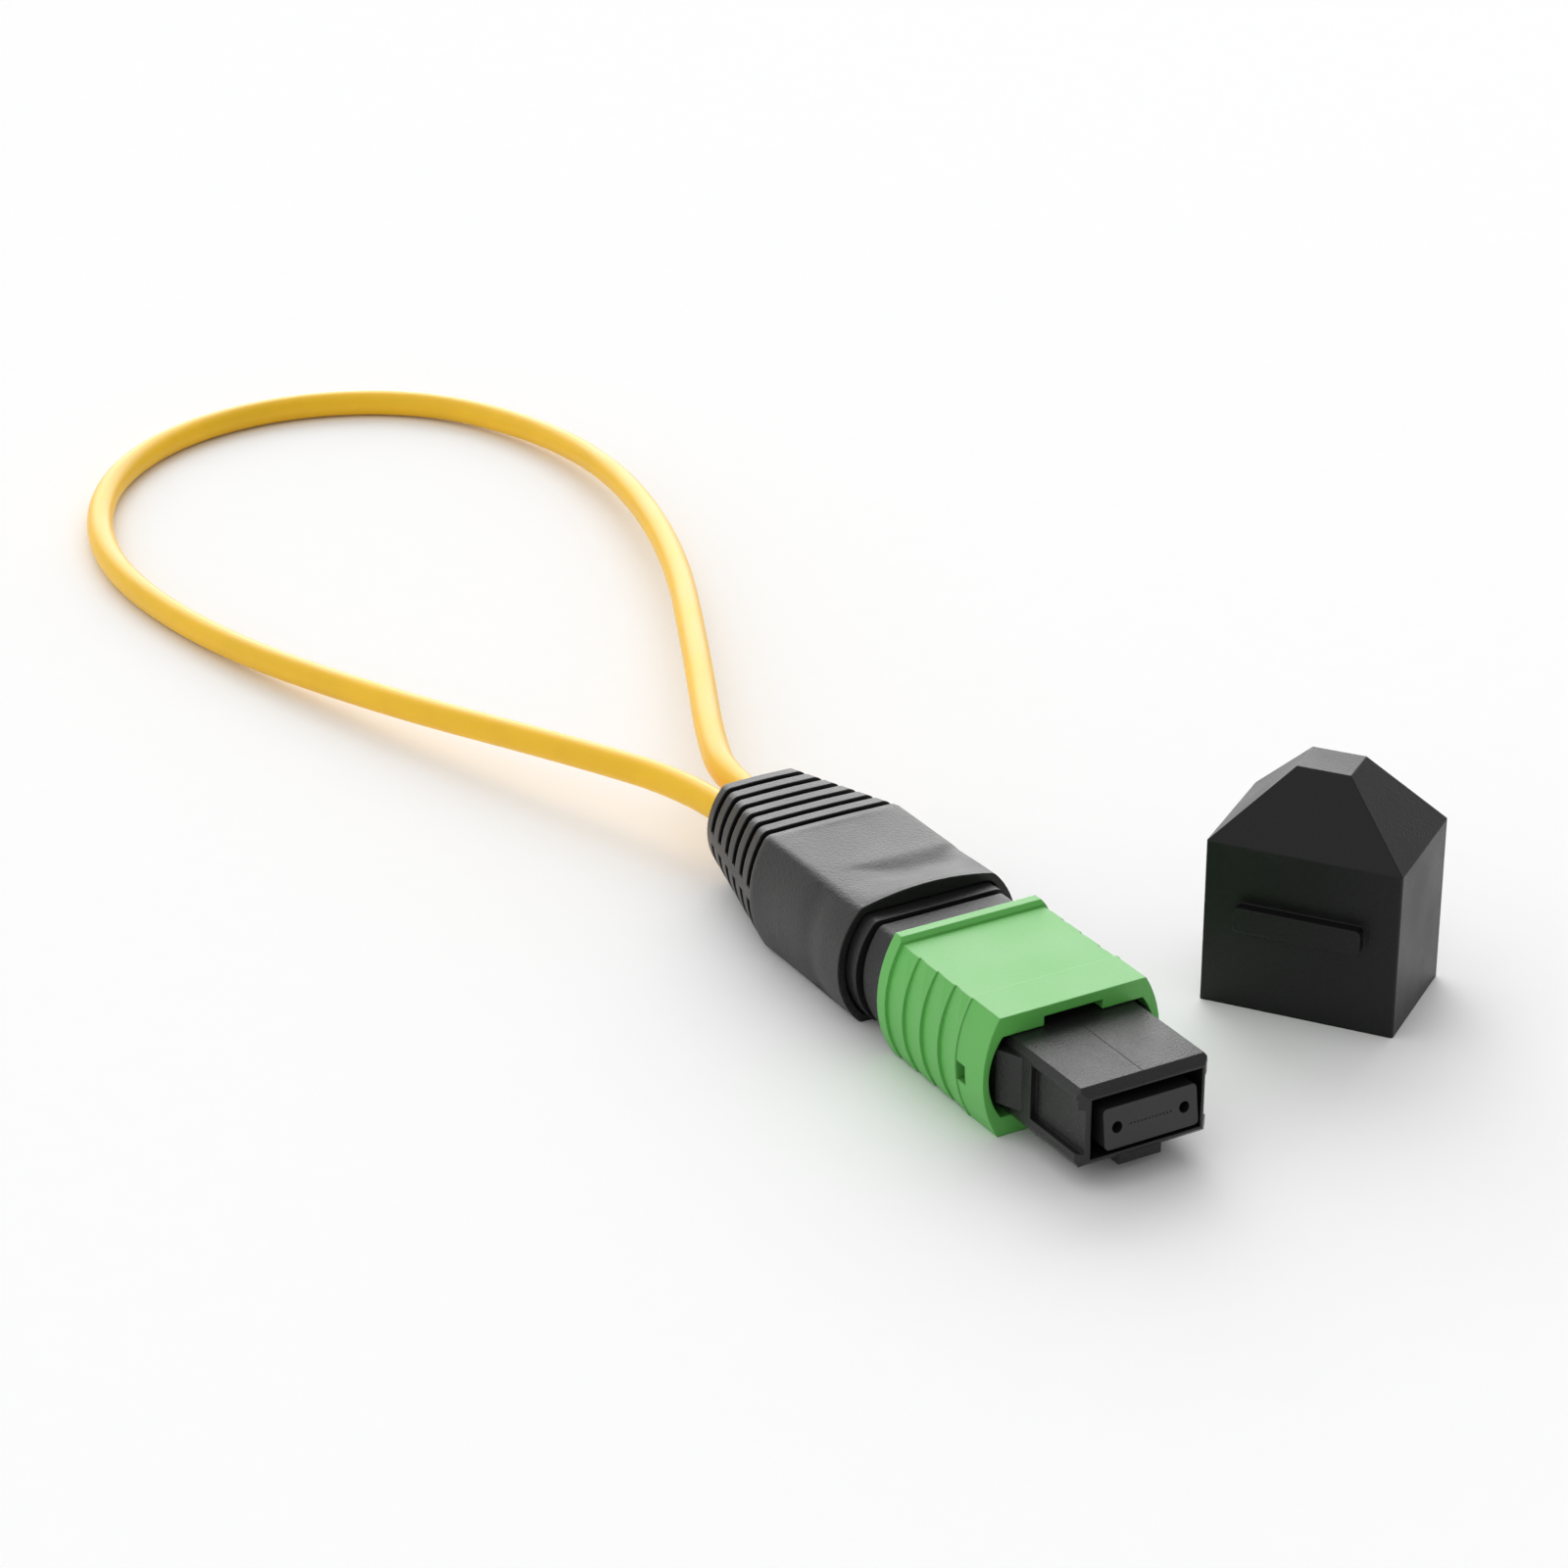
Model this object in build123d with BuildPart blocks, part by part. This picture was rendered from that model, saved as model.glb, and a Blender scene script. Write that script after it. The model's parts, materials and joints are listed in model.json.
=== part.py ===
from build123d import *

import math
import os

# A multi-fibre loopback plug with an angled ferrule, and its dust cap standing beside it.
# X runs forward along the plug to the ferrule's face, Y to the plug's left and Z up.
# The origin is where the plug's axis meets the ferrule's face.
# All sizes are in millimetres.

# Fits
slide_gap = 0.08  # between a sliding piece and what it slides on
seat_gap = 0.04  # between two pieces of which one is pushed against the other
loose_gap = 0.15  # round a piece that floats

# Ferrule, to the standard of its kind
fibre_count = 12
fibre_pitch = 0.25
fibre_radius = 0.0625
fibre_gap = 0.001
guide_hole_radius = 0.35
guide_hole_pitch = 4.6
face_angle = 8.0
ferrule_width = 6.4
ferrule_height = 2.5
ferrule_length = 8.0
ferrule_corner = 0.3
shoulder_width = 7.1
shoulder_height = 3.1
shoulder_length = 2.2
window_width = 3.4
window_length = 2.4
window_front = 2.6  # behind the face
ferrule_recess_depth = 1.8

# Ribbon and loose fibres
ribbon_width = 3.1
ribbon_thickness = 0.32
ribbon_front = 2.4
ribbon_rear = 18.6
ribbon_gap = 0.02
sleeve_length = 3.6
sleeve_overlap = 1.4  # of the ribbon's end inside the sleeve
sleeve_wall = 0.22
bundle_radius = 0.42

# Sleeve in the ferrule's rear
ferrule_boot_width = 3.5
ferrule_boot_height = 1.4
ferrule_boot_length = 2.9

# Spacer behind the ferrule
keeper_length = 2.2
keeper_boss_length = 0.7
keeper_boss_gap = 0.2  # inside the spring
pin_clearance_radius = 0.4
keeper_pocket_depth = 0.9

# Springs
main_spring_wire = 0.44
main_spring_width = 6.5
main_spring_height = 3.2
main_spring_corner = 0.55
main_spring_length = 6.1
main_spring_turns = 5
side_spring_wire = 0.22
side_spring_width = 1.2
side_spring_corner = 0.29
side_spring_turns = 6

# Inner housing
nose_setback = 0.43  # from the ferrule's face back to the rim
nose_wall = 0.64  # above and below the mouth
nose_side_wall = 0.69
nose_edge_inset = 0.26
nose_edge_drop = 0.44
bevel_length = 0.53
rim_lip = 0.16
mouth_width = 7.6
mouth_height = 3.86
mouth_depth = 4.2
throat_length = 1.1
cavity_side_gap = 0.2  # on each side of the ferrule's shoulder
spring_gap = 0.35  # above and below the main spring
channel_top = 1.9  # above the axis
channel_front_top = 1.28  # above the axis, under a tab at the front
channel_tab_length = 0.45
channel_bottom = 1.6  # below the axis
channel_depth = 0.4
channel_length = 5.2
flare_length = 2.6
flare_gap = 0.55  # on each side, inside the coupling's mouth
key_width = 2.92
key_drop = 0.6
key_setback = 0.5  # behind the rim
key_length = 8.6
neck_length = 9.4
neck_flat_width = 8.7
neck_side_wall = 1.75
neck_wall = 1.35
neck_corner = 0.55
pocket_wall = 0.45  # between the cavity and the spring pocket
pocket_height = 1.7
pocket_rear_wall = 4.8  # from the neck's rear to the pocket
latch_depth = 0.34
latch_length = 1.2
latch_height = 1.8
latch_setback = 2.9  # from the neck's rear

# Coupling
coupling_setback = 7.67  # from the rim back to the coupling's front
coupling_length = 11.7
coupling_flat_width = 10.1
coupling_wall = 0.44  # over the neck
coupling_side_wall = 0.62
band_length = 3.2
band_extra_width = 0.1
band_rise = 0.08
ridge_length = 0.9
ridge_rise = 0.38
ridge_bevel = 0.25
ridge_flat_width = 9.9
coupling_travel = 2.0
coupling_mouth_length = 2.9
coupling_mouth_flat_inset = 0.2
coupling_mouth_wall = 0.45
key_side_gap = 0.57  # on each side of the key, in the coupling's mouth
lug_length = 1.2
lug_height = 1.5
side_window_length = 0.93
side_window_height = 1.25
side_window_drop = 0.5  # its centre below the axis
grip_count = 4
grip_pitch = 1.97
grip_depth = 0.2
grip_edge_depth = 0.1  # at the top and bottom edges
front_thinning = 0.06  # of the sides in front of the grips

# Spring push, the rear body
push_gap = 0.4  # the groove between neck and flange
push_boss_inset = 0.35
push_tube_length = 5.95
push_tube_gap = 0.06
push_wall = 1.3
passage_height = 2.0
flange_length = 2.6
flange_flat_width = 8.8
flange_side_step = 0.3  # out from the neck's side
flange_step = 0.1  # up and down from the neck
flange_corner = 0.7
hook_length = 0.9
hook_height = 1.6
hook_reach = 0.26
spigot_length = 5.0
spigot_width = 6.6
spigot_height = 3.8
spigot_wall = 0.55
spigot_groove_count = 3
spigot_groove_pitch = 1.3
spigot_groove_width = 0.4
spigot_groove_depth = 0.15

# Cable, yarn and crimp ring
cable_diameter = 2.0
cable_spacing = 2.4
cable_gap = 0.04
yarn_thickness = 0.2
yarn_split = 0.3  # between the two halves
yarn_end_length = 0.6
fibre_opening = 0.5  # radius left for the fibres in the yarn
ring_wall = 0.3
ring_front_gap = 0.3
ring_cone_length = 0.9
ring_grip_length = 2.4

# Boot
mouth_overlap = 1.5  # of the boot over the flange
boot_length = 20.8
boot_front_length = 11.3
boot_flat_width = 9.5
boot_wall = 0.42  # over the flange
boot_side_wall = 0.52
boot_waist_width = 12.0
boot_rear_flat_width = 5.1
boot_rear_width = 7.6
boot_rear_height = 6.1
boot_corner = 0.7
brow_rise = 0.6
brow_dip = 0.2  # of the hollow behind the brow
brow_length = 5.3
brow_dip_length = 1.7
crown = 0.06  # of the level top behind it
side_hollow = 0.1
sole_trim = 0.02  # cut off the underside to leave it flat
slot_count = 6
slot_pitch = 1.55
slot_width = 0.65
slot_rear_offset = 1.15
bridge_height = 0.8
core_wall = 0.45
boot_ring_gap = 0.05

# Dust cap
cap_corner_x = -16.24
cap_corner_y = 14.9
cap_yaw = 35.2
cap_length = 12.38
cap_width = 9.05
cap_wall_height = 10.83
cap_height = 15.42
cap_top_length = 3.4
cap_top_width = 3.05
cap_fit = 0.16
cap_pocket_depth = 9.0
cap_edge = 0.15
bar_length = 8.05
bar_height = 1.6
bar_proud = 0.8
bar_inset = 2.15
bar_base = 5.5

# Places along the axis, from the front
rim_x = -nose_setback
throat_x = rim_x - mouth_depth
cavity_x = throat_x - throat_length
coupling_front = rim_x - coupling_setback
coupling_rear = coupling_front - coupling_length
lug_front = coupling_front - coupling_mouth_length
pocket_front = lug_front + seat_gap
neck_front = lug_front - coupling_travel - loose_gap
neck_rear = neck_front - neck_length
pocket_rear = neck_rear + pocket_rear_wall
flange_front = neck_rear - push_gap
flange_rear = flange_front - flange_length
spigot_rear = flange_rear - spigot_length
jacket_end = spigot_rear - yarn_end_length - seat_gap
ring_front = flange_rear - ring_front_gap
boot_mouth = flange_front - flange_length + mouth_overlap
boot_rear = boot_mouth - boot_length
boot_waist = boot_mouth - boot_front_length
shoulder_front = cavity_x - seat_gap
keeper_front = -ferrule_length - seat_gap
spring_front = keeper_front - keeper_length - seat_gap

# Sizes that follow from others, from the inside out
nose_width = mouth_width + 2 * nose_side_wall
nose_flat_width = nose_width - 2 * nose_edge_inset
nose_height = mouth_height + 2 * nose_wall
cavity_width = shoulder_width + 2 * cavity_side_gap
cavity_height = main_spring_height + 2 * spring_gap
pocket_floor = cavity_width / 2 + pocket_wall  # from the axis
neck_width = cavity_width + 2 * neck_side_wall
neck_height = cavity_height + 2 * neck_wall
flange_width = neck_width + 2 * flange_side_step
flange_height = neck_height + 2 * flange_step
coupling_width = neck_width + 2 * slide_gap + 2 * coupling_side_wall
coupling_height = neck_height + 2 * slide_gap + 2 * coupling_wall
ridge_height = coupling_height + 2 * ridge_rise
coupling_mouth_width = coupling_width - 2 * coupling_mouth_wall
coupling_mouth_flat_width = coupling_flat_width - 2 * coupling_mouth_flat_inset
coupling_key_width = key_width + 2 * key_side_gap
flare_width = coupling_mouth_width - 2 * flare_gap
ring_width = spigot_width + 2 * yarn_thickness + 2 * seat_gap
ring_height = spigot_height + 2 * yarn_thickness + 2 * seat_gap
ring_rear = jacket_end - ring_cone_length - ring_grip_length
cable_radius = cable_diameter / 2
bore_radius = cable_radius + cable_gap
boot_width = flange_width + 2 * slide_gap + 2 * boot_side_wall
axis_height = flange_height / 2 + slide_gap + boot_wall  # above the surface that the plug lies on


def station(x):
    """The plane across the plug at x, seen from the front: its own X is the plug's Y and its own Y is up."""
    return Plane(origin=(x, 0, 0), x_dir=(0, 1, 0), z_dir=(1, 0, 0))


class Barrel(BaseSketchObject):
    """A section with a flat top and bottom and bowed sides. The top may rise to an arch."""

    def __init__(self, flat_width, width, height, rise=0, corner=0, mode=Mode.ADD):
        flat, side, half = flat_width / 2, width / 2, height / 2
        with BuildSketch() as section:
            with BuildLine():
                if rise:
                    ThreePointArc((-flat, half), (0, half + rise), (flat, half))
                else:
                    Line((-flat, half), (flat, half))
                ThreePointArc((flat, half), (side, 0), (flat, -half))
                Line((flat, -half), (-flat, -half))
                ThreePointArc((-flat, -half), (-side, 0), (-flat, half))
            make_face()
            if corner:
                fillet(section.vertices(), corner)
        super().__init__(section.sketch, mode=mode)


class NoseSection(BaseSketchObject):
    """The nose's section: a rectangle with a short bevel along each of its four long edges."""

    def __init__(self, mode=Mode.ADD):
        flat, side, half = nose_flat_width / 2, nose_width / 2, nose_height / 2
        edge = half - nose_edge_drop
        with BuildSketch() as section:
            with BuildLine():
                Polyline(
                    (-flat, half), (flat, half), (side, edge), (side, -edge),
                    (flat, -half), (-flat, -half), (-side, -edge), (-side, edge),
                    close=True,
                )
            make_face()
        super().__init__(section.sketch, mode=mode)


def coil(start, length, width, height, corner, wire, turns, centre_y=0.0):
    """A compression spring along -X, of eight straight runs a turn round a rectangle with cut corners."""
    half_width, half_height = (width - wire) / 2, (height - wire) / 2
    former = [
        (corner - half_width, half_height), (half_width - corner, half_height),
        (half_width, half_height - corner), (half_width, corner - half_height),
        (half_width - corner, -half_height), (corner - half_width, -half_height),
        (-half_width, corner - half_height), (-half_width, half_height - corner),
    ]
    steps = len(former) * turns
    points = []
    for step in range(steps + 1):
        # The end turns lie closer, so the pitch opens towards the middle.
        share = step / steps
        travel = share - math.sin(2 * math.pi * share) / (2 * math.pi)
        across, rise = former[step % len(former)]
        points.append((start - wire / 2 - (length - wire) * travel, centre_y + across, rise))
    with BuildPart() as spring:
        with BuildLine() as path:
            Polyline(*points)
        with BuildSketch(Plane(origin=path.line @ 0, z_dir=path.line % 0)):
            RegularPolygon(wire / 2, 6)
        sweep(path=path.line, transition=Transition.RIGHT)
    return spring


os.makedirs("parts", exist_ok=True)

# Ferrule: a block with a rear shoulder, two guide-pin holes, a row of fibre holes, a ribbon slot,
# a window for the adhesive and a recess for its rubber sleeve. Its face is cut at an angle.
half_drop = ferrule_height / 2 * math.tan(math.radians(face_angle))
with BuildPart() as mt_ferrule:
    with BuildSketch(station(half_drop)):
        RectangleRounded(ferrule_width, ferrule_height, ferrule_corner)
    extrude(amount=-ferrule_length - half_drop)
    with BuildSketch(station(shoulder_front)):
        RectangleRounded(shoulder_width, shoulder_height, ferrule_corner)
    extrude(amount=-ferrule_length - shoulder_front)
    split(bisect_by=station(0).rotated((0, -face_angle, 0)), keep=Keep.BOTTOM)
    with BuildSketch(station(-ferrule_length)):
        with GridLocations(guide_hole_pitch, 0, 2, 1):
            Circle(guide_hole_radius)
    extrude(amount=ferrule_length + 1, mode=Mode.SUBTRACT)
    with BuildSketch(station(-ferrule_length)):
        with GridLocations(fibre_pitch, 0, fibre_count, 1):
            Circle(fibre_radius + fibre_gap)
    extrude(amount=ferrule_length + 1, mode=Mode.SUBTRACT)
    with BuildSketch(station(-ferrule_length)):
        Rectangle(ribbon_width + 2 * ribbon_gap, ribbon_thickness + 2 * ribbon_gap)
    extrude(amount=ferrule_length - ribbon_front, mode=Mode.SUBTRACT)
    with BuildSketch(station(-ferrule_length)):
        Rectangle(ferrule_boot_width + 2 * seat_gap, ferrule_boot_height + 2 * seat_gap)
    extrude(amount=ferrule_recess_depth, mode=Mode.SUBTRACT)
    window_plane = Plane(origin=(-window_front, 0, ribbon_thickness / 2 + ribbon_gap))
    with BuildSketch(window_plane):
        Rectangle(window_length, window_width, align=(Align.MAX, Align.CENTER))
    extrude(amount=ferrule_height, mode=Mode.SUBTRACT)
mt_ferrule.part.label = "mt_ferrule"
export_step(mt_ferrule.part, "parts/mt_ferrule.step")

# Adhesive in the ferrule's window, cured a little below the surface
with BuildPart() as window_epoxy:
    with BuildSketch(window_plane):
        Rectangle(window_length, window_width, align=(Align.MAX, Align.CENTER))
    extrude(amount=ferrule_height / 2 - ribbon_thickness / 2 - ribbon_gap - seat_gap)
window_epoxy.part.label = "window_epoxy"
export_step(window_epoxy.part, "parts/window_epoxy.step")

# Rubber sleeve in the ferrule's rear, slit round the ribbon
with BuildPart() as ferrule_boot:
    with BuildSketch(station(-ferrule_length + ferrule_recess_depth)):
        RectangleRounded(ferrule_boot_width, ferrule_boot_height, ferrule_corner)
        Rectangle(ribbon_width + 2 * ribbon_gap, ribbon_thickness + 2 * ribbon_gap, mode=Mode.SUBTRACT)
    extrude(amount=-ferrule_boot_length)
ferrule_boot.part.label = "ferrule_boot"
export_step(ferrule_boot.part, "parts/ferrule_boot.step")

# The twelve fibres, bare through the ferrule and then side by side in a flat ribbon
with BuildPart() as fibre_ribbon:
    with BuildSketch(station(-ribbon_front)):
        Rectangle(ribbon_width, ribbon_thickness)
    extrude(amount=ribbon_front - ribbon_rear)
    with BuildSketch(station(-ribbon_front)):
        with GridLocations(fibre_pitch, 0, fibre_count, 1):
            Circle(fibre_radius)
    extrude(amount=ribbon_front - seat_gap)
fibre_ribbon.part.label = "fibre_ribbon"
export_step(fibre_ribbon.part, "parts/fibre_ribbon.step")

# Sleeve where the ribbon ends and the loose fibres start
sleeve_front = -ribbon_rear + sleeve_overlap
sleeve_rear = sleeve_front - sleeve_length
with BuildPart() as ribbon_sleeve:
    with BuildSketch(station(sleeve_front)):
        RectangleRounded(
            ribbon_width + 2 * ribbon_gap + 2 * sleeve_wall,
            ribbon_thickness + 2 * ribbon_gap + 2 * sleeve_wall,
            sleeve_wall,
        )
        Rectangle(ribbon_width + 2 * ribbon_gap, ribbon_thickness + 2 * ribbon_gap, mode=Mode.SUBTRACT)
    extrude(amount=-sleeve_length)
ribbon_sleeve.part.label = "ribbon_sleeve"
export_step(ribbon_sleeve.part, "parts/ribbon_sleeve.step")

# Loose fibres from the ribbon's end to each cable, gathered from flat to round
for side, name in ((1, "fibre_bundle_left"), (-1, "fibre_bundle_right")):
    with BuildPart() as fibre_bundle:
        with BuildSketch(station(-ribbon_rear)):
            with Locations((side * ribbon_width / 4, 0)):
                Rectangle(ribbon_width / 2 - 2 * ribbon_gap, ribbon_thickness)
        with BuildSketch(station(sleeve_rear)):
            with Locations((side * ribbon_width / 4, 0)):
                Rectangle(ribbon_width / 2 - 2 * ribbon_gap, ribbon_thickness)
        loft(ruled=True)
        with BuildSketch(station(sleeve_rear)):
            with Locations((side * ribbon_width / 4, 0)):
                Rectangle(ribbon_width / 2 - 2 * ribbon_gap, ribbon_thickness)
        with BuildSketch(station(jacket_end)):
            with Locations((side * cable_spacing / 2, 0)):
                RectangleRounded(2 * bundle_radius, 2 * bundle_radius, bundle_radius * 0.9)
        loft()
    fibre_bundle.part.label = name
    export_step(fibre_bundle.part, f"parts/{name}.step")

# Spacer behind the ferrule, with room for the ends of a mating plug's pins and a boss inside the spring
boss_width = main_spring_width - 2 * main_spring_wire - 2 * keeper_boss_gap
boss_height = main_spring_height - 2 * main_spring_wire - 2 * keeper_boss_gap
with BuildPart() as pin_keeper:
    with BuildSketch(station(keeper_front)):
        RectangleRounded(shoulder_width, shoulder_height, ferrule_corner)
    extrude(amount=-keeper_length)
    with BuildSketch(station(keeper_front - keeper_length)):
        RectangleRounded(boss_width, boss_height, ferrule_corner)
    extrude(amount=-keeper_boss_length)
    with BuildSketch(station(keeper_front)):
        Rectangle(ferrule_boot_width + 2 * seat_gap, ferrule_boot_height + 2 * seat_gap)
    extrude(amount=-keeper_length - keeper_boss_length, mode=Mode.SUBTRACT)
    with BuildSketch(station(keeper_front)):
        with GridLocations(guide_hole_pitch, 0, 2, 1):
            Circle(pin_clearance_radius)
    extrude(amount=-keeper_pocket_depth, mode=Mode.SUBTRACT)
pin_keeper.part.label = "pin_keeper"
export_step(pin_keeper.part, "parts/pin_keeper.step")

# Oval spring that pushes the ferrule forward
main_spring = coil(
    spring_front, main_spring_length, main_spring_width, main_spring_height,
    main_spring_corner, main_spring_wire, main_spring_turns,
)
main_spring.part.label = "main_spring"
export_step(main_spring.part, "parts/main_spring.step")

# Inner housing: nose with a bevelled front, side channels, key, flared shoulders and the neck
push_front = spring_front - main_spring_length - seat_gap
with BuildPart() as inner_housing:
    with BuildSketch(station(rim_x)):
        Rectangle(mouth_width + 2 * rim_lip, mouth_height + 2 * rim_lip)
    with BuildSketch(station(rim_x - bevel_length)):
        Rectangle(nose_width, nose_height)
    loft()
    with BuildSketch(station(rim_x)):
        NoseSection()
    extrude(amount=-bevel_length, mode=Mode.INTERSECT)
    with BuildSketch(station(rim_x - bevel_length)):
        NoseSection()
    extrude(amount=neck_front - rim_x + bevel_length)
    # Channels for the latch arms of an adapter, lower at the front under a tab
    for side in (1, -1):
        channel_plane = Plane(origin=(rim_x, side * nose_width / 2, -channel_bottom))
        with BuildSketch(channel_plane):
            Rectangle(2 * channel_length, 2 * channel_depth)
        extrude(amount=channel_front_top + channel_bottom, mode=Mode.SUBTRACT)
        with BuildSketch(channel_plane):
            with Locations((-channel_tab_length, 0)):
                Rectangle(
                    channel_length - channel_tab_length,
                    2 * channel_depth,
                    align=(Align.MAX, Align.CENTER),
                )
        extrude(amount=channel_top + channel_bottom, mode=Mode.SUBTRACT)
    # Shoulders that flare out of the channels to the coupling's lugs
    with BuildSketch(Plane.XY.offset(-channel_bottom)):
        floor_y = nose_width / 2 - channel_depth
        with BuildLine():
            Polyline(
                (rim_x - channel_length, -floor_y), (rim_x - channel_length, floor_y),
                (rim_x - channel_length - flare_length, flare_width / 2),
                (pocket_front, flare_width / 2), (pocket_front, -flare_width / 2),
                (rim_x - channel_length - flare_length, -flare_width / 2),
                close=True,
            )
        make_face()
    extrude(amount=channel_top + channel_bottom)
    # Key
    with BuildSketch(Plane.XY):
        with Locations((rim_x - key_setback, 0)):
            Rectangle(key_length, key_width, align=(Align.MAX, Align.CENTER))
    extrude(amount=-nose_height / 2 - key_drop)
    # Neck
    with BuildSketch(station(neck_front)):
        Barrel(neck_flat_width, neck_width, neck_height, corner=neck_corner)
    extrude(amount=-neck_length)
    # Pockets for the coupling's springs and lugs
    for side in (1, -1):
        pocket_plane = Plane(origin=(pocket_rear, side * pocket_floor, 0))
        with BuildSketch(pocket_plane):
            Rectangle(
                pocket_front - pocket_rear,
                neck_width,
                align=(Align.MIN, Align.MIN if side > 0 else Align.MAX),
            )
        extrude(amount=pocket_height / 2, both=True, mode=Mode.SUBTRACT)
    # Room for the ferrule, its spring and the spring push
    with BuildSketch(station(rim_x)):
        Rectangle(mouth_width, mouth_height)
    extrude(amount=-mouth_depth, mode=Mode.SUBTRACT)
    with BuildSketch(station(throat_x)):
        Rectangle(ferrule_width + 2 * loose_gap, ferrule_height + 2 * loose_gap)
    extrude(amount=-throat_length, mode=Mode.SUBTRACT)
    with BuildSketch(station(cavity_x)):
        Rectangle(cavity_width, cavity_height)
    extrude(amount=neck_rear - cavity_x, mode=Mode.SUBTRACT)
    # Grooves that the spring push's hooks snap into
    with BuildSketch(station(neck_rear + latch_setback)):
        Rectangle(cavity_width + 2 * latch_depth, latch_height)
    extrude(amount=latch_length, mode=Mode.SUBTRACT)
inner_housing.part.label = "inner_housing"
export_step(inner_housing.part, "parts/inner_housing.step")

# Coupling: bowed sides with saw-tooth grips, a raised front band, a rear ridge, side windows and inner lugs
coupling_bow = (coupling_width - coupling_flat_width) / 2
grip_bow = coupling_bow - grip_depth + grip_edge_depth
grip_radius = ((coupling_height / 2) ** 2 + grip_bow**2) / (2 * grip_bow)
with BuildPart() as coupling:
    with BuildSketch(station(coupling_front)):
        Barrel(coupling_flat_width, coupling_width, coupling_height)
    extrude(amount=-coupling_length)
    with BuildSketch(station(coupling_front)):
        Barrel(coupling_flat_width + 2 * band_extra_width, coupling_width, coupling_height + 2 * band_rise)
    extrude(amount=-band_length)
    with BuildSketch(station(coupling_rear)):
        Barrel(ridge_flat_width, coupling_width, ridge_height)
        with Locations((0, 0)):
            Rectangle(2 * coupling_width, ridge_height, align=(Align.CENTER, Align.MAX), mode=Mode.SUBTRACT)
    extrude(amount=ridge_length)
    ridge_edges = coupling.edges().filter_by(Axis.Y).group_by(Axis.Z)[-1]
    chamfer(ridge_edges.sort_by(Axis.X)[-1], ridge_bevel)
    # Grips: each tooth falls at its rear and rises again towards the front, and is shallower up and down
    for side in (1, -1):
        skin = side * coupling_width / 2
        with BuildSketch(Plane.XY):
            for tooth in range(grip_count):
                tooth_rear = coupling_rear + ridge_length + tooth * grip_pitch
                tooth_front = tooth_rear + grip_pitch
                with BuildLine():
                    Polyline(
                        (tooth_rear, skin + side), (tooth_rear, skin - side * grip_depth),
                        (tooth_front, skin), (tooth_front, skin + side),
                        close=True,
                    )
                make_face()
            with Locations((tooth_front, skin - side * front_thinning)):
                Rectangle(
                    coupling_front - tooth_front,
                    coupling_bow,
                    align=(Align.MIN, Align.MIN if side > 0 else Align.MAX),
                )
        centre_line = Axis((0, skin - side * (grip_depth + grip_radius), 0), (1, 0, 0))
        revolve(axis=centre_line, mode=Mode.SUBTRACT)
    # Inside: the rear runs on the neck, the front clears the nose and lets an adapter's latch arms in
    with BuildSketch(station(coupling_rear)):
        Barrel(neck_flat_width + 2 * slide_gap, neck_width + 2 * slide_gap, neck_height + 2 * slide_gap)
    extrude(amount=coupling_length - coupling_mouth_length, mode=Mode.SUBTRACT)
    with BuildSketch(station(coupling_front)):
        Barrel(coupling_mouth_flat_width, coupling_mouth_width, nose_height + 2 * slide_gap)
        Rectangle(coupling_key_width, nose_height + 2 * key_drop + 2 * slide_gap)
    extrude(amount=-coupling_mouth_length, mode=Mode.SUBTRACT)
    # Lugs that the return springs push on
    for side in (1, -1):
        lug_plane = Plane(origin=(lug_front, side * (pocket_floor + slide_gap), 0))
        with BuildSketch(lug_plane):
            Rectangle(
                lug_length,
                neck_width / 2 + 3 * slide_gap - pocket_floor,
                align=(Align.MAX, Align.MIN if side > 0 else Align.MAX),
            )
        extrude(amount=lug_height / 2, both=True)
    # Side windows, just in front of the lugs
    window_centre = Plane(origin=(lug_front, 0, -side_window_drop))
    with BuildSketch(window_centre):
        with Locations((0, coupling_width / 2), (0, -coupling_width / 2)):
            Rectangle(side_window_length, coupling_bow * 2, align=(Align.MIN, Align.CENTER))
    extrude(amount=side_window_height / 2, both=True, mode=Mode.SUBTRACT)
coupling.part.label = "coupling"
export_step(coupling.part, "parts/coupling.step")

# Return springs of the coupling, one in each side pocket
side_spring_start = lug_front - lug_length - seat_gap
side_spring_length = side_spring_start - pocket_rear - seat_gap
side_spring_y = pocket_floor + slide_gap + side_spring_width / 2
for side, name in ((1, "coupling_spring_left"), (-1, "coupling_spring_right")):
    side_spring = coil(
        side_spring_start, side_spring_length, side_spring_width, side_spring_width,
        side_spring_corner, side_spring_wire, side_spring_turns, side * side_spring_y,
    )
    side_spring.part.label = name
    export_step(side_spring.part, f"parts/{name}.step")

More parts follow.
